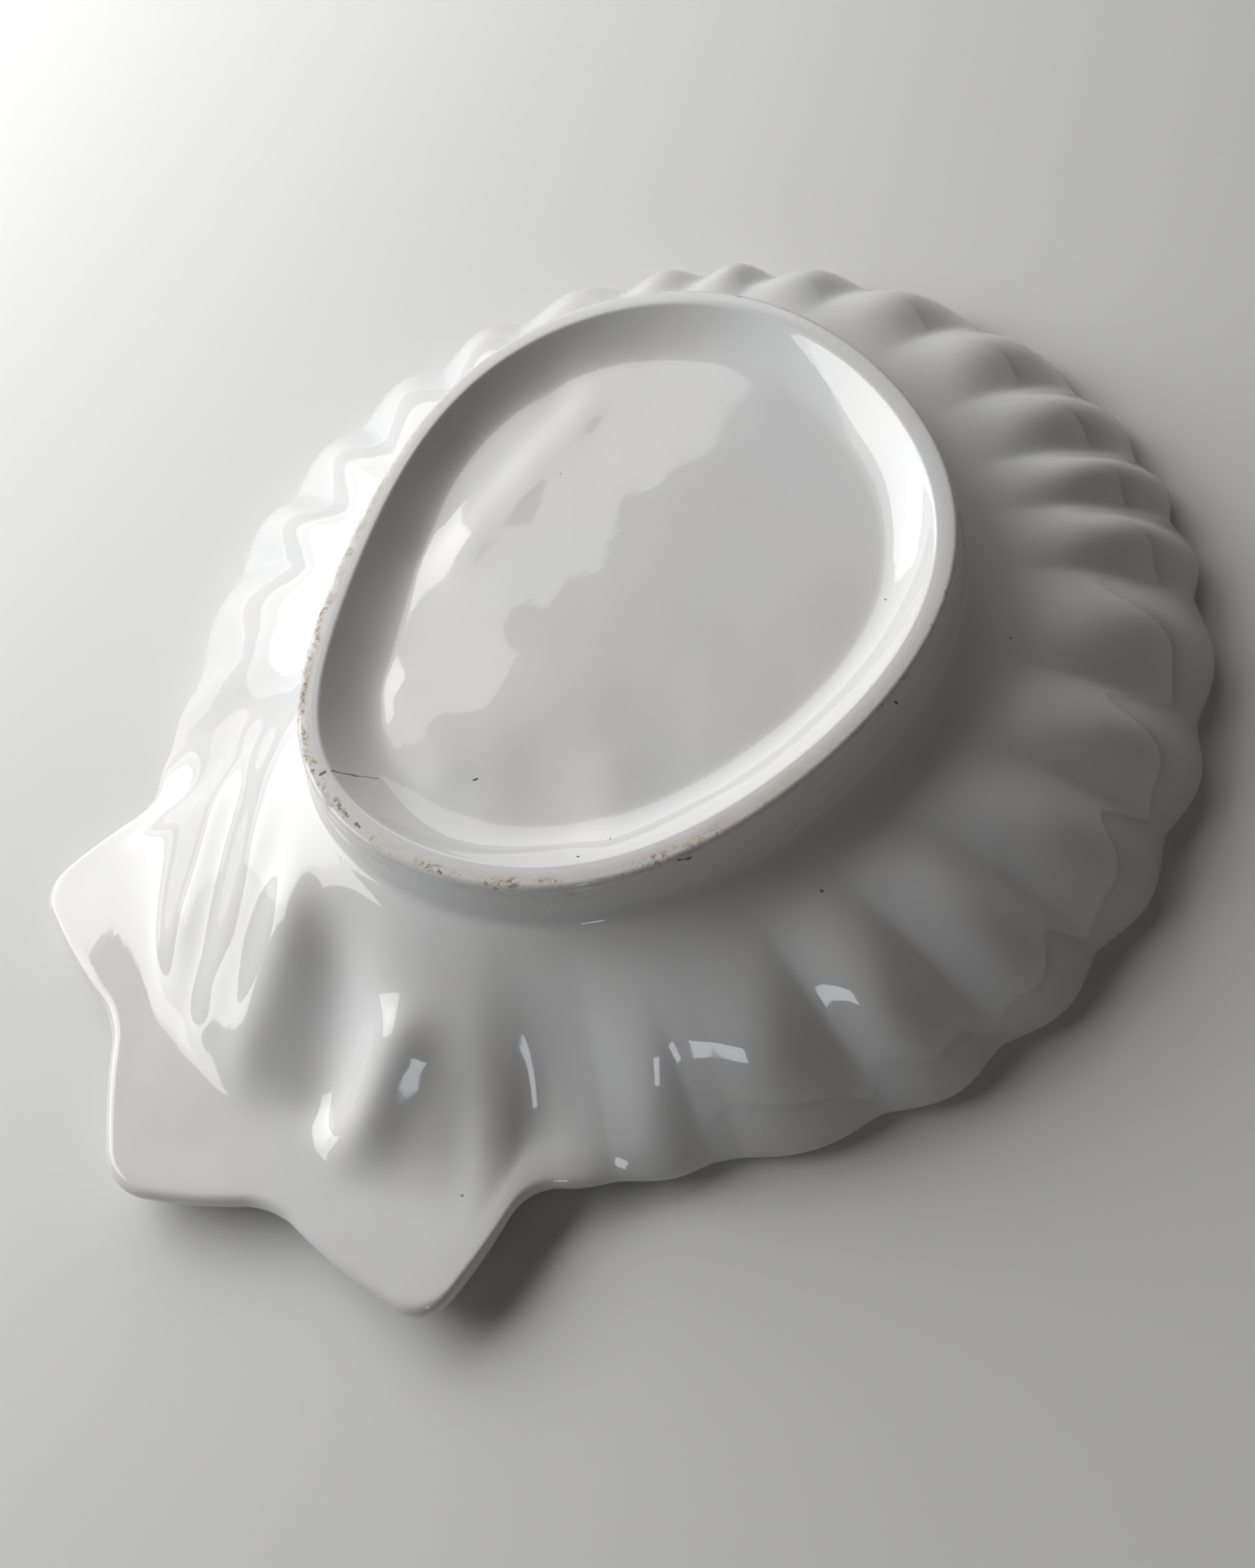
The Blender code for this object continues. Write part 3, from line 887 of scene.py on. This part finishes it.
@dataclass(frozen=True)
class Blemish:
    """One crack, scratch, nick or speck: a short line through two points on the skin."""

    start: tuple
    end: tuple
    width: float
    strength: float

    @staticmethod
    def make() -> bpy.types.NodeTree:
        """Group that gives its strength on a thin line between two points, and 0 off it.

        The strength is full within half the width of the line and eases to 0 at the width.

        Returns:
            The node group.
        """
        inputs = {"Place": VECTOR, "Start": VECTOR, "End": VECTOR, "Width": FLOAT, "Strength": FLOAT}
        tree, g, source, sink = new_group("blemish_line", inputs, {"Line": FLOAT})
        run = g.vector("SUBTRACT", source.outputs["End"], source.outputs["Start"]).outputs[0]
        arm = g.vector("SUBTRACT", source.outputs["Place"], source.outputs["Start"]).outputs[0]
        share = g.math("DIVIDE", g.vector("DOT_PRODUCT", arm, run).outputs["Value"],
                       g.vector("DOT_PRODUCT", run, run).outputs["Value"])
        held = g.math("MINIMUM", g.math("MAXIMUM", share, 0.0), 1.0)
        foot = g.vector("SCALE", run)
        g.tree.links.new(held, foot.inputs["Scale"])
        gap = g.vector("LENGTH", g.vector("SUBTRACT", arm, foot.outputs[0]).outputs[0]).outputs["Value"]
        near = g.math("SUBTRACT", 1.0, g.math("DIVIDE", gap, source.outputs["Width"]))
        line = g.math("MULTIPLY", g.ramp(near, 0.0, 0.5), source.outputs["Strength"])
        g.tree.links.new(line, sink.inputs["Line"])
        return tree


@dataclass(frozen=True)
class WhiteGlaze:
    """The dish's one coat: white glaze, worn crest, pinholes and the blemishes that the photo shows."""

    dark: tuple = (0.06, 0.05, 0.045, 1.0)
    pale: tuple = (0.88, 0.88, 0.88, 1.0)
    bare_share: float = 0.75
    stain_share: float = 0.90
    bare_roughness: float = 0.62
    shake_scale: float = 700.0
    shake_reach: float = 0.0009
    dark_marks: tuple = (
        Blemish((-0.0130, -0.0697, 0.0558), (-0.0094, -0.0661, 0.0522), 0.00034, 0.75),
        Blemish((-0.0094, -0.0661, 0.0522), (-0.0064, -0.0632, 0.0500), 0.00030, 0.60),
        Blemish((-0.0145, -0.0724, 0.0560), (-0.0140, -0.0711, 0.0560), 0.00045, 0.90),
        Blemish((0.0123, -0.0484, 0.0495), (0.0128, -0.0476, 0.0496), 0.00038, 1.00),
        Blemish((0.0478, -0.0471, 0.0538), (0.0481, -0.0471, 0.0540), 0.00030, 1.00),
        Blemish((0.0493, -0.0388, 0.0514), (0.0496, -0.0389, 0.0515), 0.00025, 0.70),
        Blemish((-0.0369, 0.0305, 0.0499), (-0.0362, 0.0304, 0.0499), 0.00025, 0.70),
        Blemish((0.0565, 0.0505, 0.0491), (0.0569, 0.0504, 0.0492), 0.00035, 0.80),
        Blemish((-0.0022, -0.0748, 0.0560), (-0.0005, -0.0752, 0.0560), 0.00040, 0.60),
        Blemish((0.0024, -0.0751, 0.0560), (0.0039, -0.0750, 0.0560), 0.00045, 0.80),
        Blemish((0.0267, -0.0706, 0.0560), (0.0273, -0.0704, 0.0560), 0.00045, 0.70),
        Blemish((0.0664, -0.0334, 0.0546), (0.0672, -0.0314, 0.0532), 0.00070, 0.80),
        Blemish((0.0769, 0.0282, 0.0518), (0.0772, 0.0286, 0.0505), 0.00045, 0.90),
        Blemish((0.0581, -0.0761, 0.0298), (0.0584, -0.0761, 0.0297), 0.00040, 0.80),
        Blemish((0.0900, -0.0143, 0.0379), (0.0903, -0.0143, 0.0378), 0.00040, 0.80),
        Blemish((0.0681, -0.1185, 0.0128), (0.0685, -0.1183, 0.0128), 0.00040, 0.60))
    pale_marks: tuple = (
        Blemish((0.0490, -0.0596, 0.0477), (0.0499, -0.0607, 0.0421), 0.00030, 0.90),
        Blemish((0.0612, -0.0416, 0.0558), (0.0611, -0.0402, 0.0560), 0.00050, 0.80))

    def joined(self, g: Graph, place: object, marks: tuple,
               group: bpy.types.NodeTree) -> bpy.types.NodeSocket:
        """Strongest of some blemishes at each place.

        Args:
            g: Graph of the material.
            place: Coordinates to read.
            marks: Blemishes to join.
            group: The blemish group.

        Returns:
            The mask.
        """
        total = None
        for mark in marks:
            inputs = {"Place": place, "Start": mark.start, "End": mark.end, "Width": mark.width,
                      "Strength": mark.strength}
            line = g.group(group, inputs)["Line"]
            total = line if total is None else g.math("MAXIMUM", total, line)
        return total

    def make(self) -> bpy.types.Material:
        """Build the node material.

        Returns:
            The glaze.
        """
        material = bpy.data.materials.new("white_glaze")
        material.use_nodes = True
        shader = material.node_tree.nodes["Principled BSDF"]
        g = Graph(material.node_tree)
        place = g.node("ShaderNodeTexCoord", {}).outputs["Object"]
        gap, groove, edge = (g.node("ShaderNodeAttribute", {}, attribute_name=mark.value).outputs["Fac"]
                             for mark in SurfaceMark)
        noise = g.noise(place, self.shake_scale, 2.0).outputs["Color"]
        shake = g.vector("SUBTRACT", noise, (0.5, 0.5, 0.5)).outputs[0]
        shake = g.vector("MULTIPLY", shake, (self.shake_reach,) * 3).outputs[0]
        shaken = g.vector("ADD", place, shake).outputs[0]
        crest = WornCrest()
        worn = g.group(crest.make(), {"Place": place, "Gap": gap})
        tone = g.group(GlazeTone().make(), {"Place": place, "Groove": groove, "Edge": edge})
        holes = g.group(Pinholes().make(), {"Place": place})
        line = Blemish.make()
        dark = self.joined(g, shaken, self.dark_marks, line)
        pale = self.joined(g, shaken, self.pale_marks, line)
        colour = g.mix(g.math("MULTIPLY", worn["Bare"], self.bare_share), tone["Color"], crest.clay)
        colour = g.mix(g.math("MULTIPLY", worn["Stain"], self.stain_share), colour, crest.stain)
        colour = g.mix(g.math("MAXIMUM", dark, holes["Speck"]), colour, self.dark)
        colour = g.mix(pale, colour, self.pale)
        rough = g.math("MAXIMUM", tone["Roughness"], g.math("MULTIPLY", worn["Bare"], self.bare_roughness))
        rough = g.math("MAXIMUM", rough, g.math("MULTIPLY", dark, self.bare_roughness))
        height = g.math("ADD", g.math("ADD", tone["Height"], worn["Height"]), holes["Height"])
        bump = g.node("ShaderNodeBump", {"Height": height, "Distance": 1.0, "Strength": 1.0})
        g.tree.links.new(colour, shader.inputs["Base Color"])
        g.tree.links.new(rough, shader.inputs["Roughness"])
        g.tree.links.new(bump.outputs["Normal"], shader.inputs["Normal"])
        return material


@dataclass(frozen=True)
class PhotoCamera:
    """The photograph's viewpoint, from a fit of the dish's outlines. Angles are in degrees."""

    place: tuple = (0.16480, -0.09425, 0.30778)
    pitch: float = 61.443
    heading: float = -60.838
    roll: float = -19.495
    focal_share: float = 1740.0 / 2156.0
    sensor_height: float = 24.0

    def build(self) -> bpy.types.Object:
        """Set the camera with forward, right and up from its heading, pitch and roll.

        Returns:
            The camera, made the scene's own.
        """
        pitch, heading, roll = (math.radians(a) for a in (self.pitch, self.heading, self.roll))
        ahead = np.array([math.sin(heading) * math.cos(pitch), math.cos(heading) * math.cos(pitch),
                          -math.sin(pitch)])
        level = np.array([math.cos(heading), -math.sin(heading), 0.0])
        upright = np.cross(level, ahead)
        right = math.cos(roll) * level + math.sin(roll) * upright
        up = -math.sin(roll) * level + math.cos(roll) * upright
        data = bpy.data.cameras.new("photo_camera")
        data.sensor_fit = "VERTICAL"
        data.sensor_height = self.sensor_height
        data.lens = self.sensor_height * self.focal_share
        camera = bpy.data.objects.new("photo_camera", data)
        matrix = np.eye(4)
        matrix[:3, :3] = np.column_stack([right, up, -ahead])
        matrix[:3, 3] = self.place
        camera.matrix_world = Matrix(matrix.tolist())
        bpy.context.scene.collection.objects.link(camera)
        bpy.context.scene.camera = camera
        return camera


@dataclass(frozen=True)
class Lamp:
    """Area lamp that faces the dish: its middle, width and height, power and colour."""

    name: str
    place: tuple
    size: tuple
    watts: float
    colour: tuple

    def build(self) -> bpy.types.Object:
        """Hang the lamp level, its back away from the origin.

        Returns:
            The lamp.
        """
        data = bpy.data.lights.new(self.name, "AREA")
        data.shape = "RECTANGLE"
        data.size, data.size_y = self.size
        data.energy = self.watts
        data.color = self.colour
        lamp = bpy.data.objects.new(self.name, data)
        back = np.array(self.place) / np.linalg.norm(self.place)
        side = np.cross([0.0, 0.0, 1.0], back)
        side /= np.linalg.norm(side)
        matrix = np.eye(4)
        matrix[:3, :3] = np.column_stack([side, np.cross(back, side), back])
        matrix[:3, 3] = self.place
        lamp.matrix_world = Matrix(matrix.tolist())
        bpy.context.scene.collection.objects.link(lamp)
        return lamp


@dataclass(frozen=True)
class Studio:
    """Pale floor, window light from the left before a bright wall, and a dim room."""

    floor_half: float = 1.8
    floor_colour: tuple = (0.81, 0.81, 0.80, 1.0)
    floor_roughness: float = 0.9
    lamps: tuple = (
        Lamp("window", (-0.767, -0.310, 0.551), (1.19, 0.53), 7.8, (1.0, 0.995, 0.99)),
        Lamp("bright_wall", (-1.090, 0.080, 0.680), (2.20, 1.00), 11.8, (0.98, 0.99, 1.0)),
        Lamp("second_window", (0.92, -1.09, 0.73), (0.16, 0.24), 0.7, (0.86, 0.93, 1.0)))
    room_strength: float = 0.040
    room_axis: tuple = (0.55, 0.83, 0.0)
    room_turn: tuple = (-0.8, 0.5)
    cool: tuple = (0.62, 0.80, 1.0, 1.0)
    warm: tuple = (1.0, 0.68, 0.46, 1.0)
    backdrop: tuple = (0.62, 0.62, 0.615, 1.0)
    backdrop_strength: float = 1.0

    def build(self) -> None:
        """Lay the floor, hang the lamps and fill the room."""
        self.floor()
        for lamp in self.lamps:
            lamp.build()
        self.room()

    def floor(self) -> bpy.types.Object:
        """Lay a plain square floor at the table's height.

        Returns:
            The floor.
        """
        h = self.floor_half
        mesh = bpy.data.meshes.new("floor")
        mesh.from_pydata([(-h, -h, 0.0), (h, -h, 0.0), (h, h, 0.0), (-h, h, 0.0)], [], [(0, 1, 2, 3)])
        material = bpy.data.materials.new("pale_floor")
        material.use_nodes = True
        shader = material.node_tree.nodes["Principled BSDF"]
        shader.inputs["Base Color"].default_value = self.floor_colour
        shader.inputs["Roughness"].default_value = self.floor_roughness
        mesh.materials.append(material)
        floor = bpy.data.objects.new("floor", mesh)
        bpy.context.scene.collection.objects.link(floor)
        return floor

    def room(self) -> None:
        """Fill the shadows with a dim room, cool towards the hinge and warm towards the fan.

        The camera and every reflection see a plain pale backdrop instead, which lights nothing.
        """
        world = bpy.data.worlds.new("room")
        world.use_nodes = True
        g = Graph(world.node_tree)
        background = world.node_tree.nodes["Background"]
        direction = g.node("ShaderNodeTexCoord", {}).outputs["Generated"]
        side = g.vector("DOT_PRODUCT", direction, self.room_axis).outputs["Value"]
        path = g.node("ShaderNodeLightPath", {}).outputs
        seen = g.math("MAXIMUM", path["Is Camera Ray"], path["Is Glossy Ray"])
        seen = g.math("MAXIMUM", seen, path["Is Transmission Ray"])
        room = g.mix(g.ramp(side, *self.room_turn), self.cool, self.warm)
        strength = g.ramp(seen, 0.0, 1.0, self.room_strength, self.backdrop_strength)
        g.tree.links.new(g.mix(seen, room, self.backdrop), background.inputs["Color"])
        g.tree.links.new(strength, background.inputs["Strength"])
        bpy.context.scene.world = world


def dress_dish() -> bpy.types.Object:
    """Build the dish, glaze it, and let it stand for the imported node.

    Returns:
        The dressed dish.
    """
    dish = ShellDish().build()
    dish.data.materials.append(WhiteGlaze().make())
    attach(dish, "root")
    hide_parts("dish")
    LOG.info("%s: %d faces", dish.name, len(dish.data.polygons))
    return dish


def main() -> None:
    """Build and dress the dish, then the stage, the lamps and the camera."""
    logging.basicConfig(level=logging.INFO, format="%(name)s: %(message)s")
    bpy.context.scene.view_settings.view_transform = "Standard"
    dress_dish()
    Studio().build()
    PhotoCamera().build()


if __name__ == "__main__":
    main()
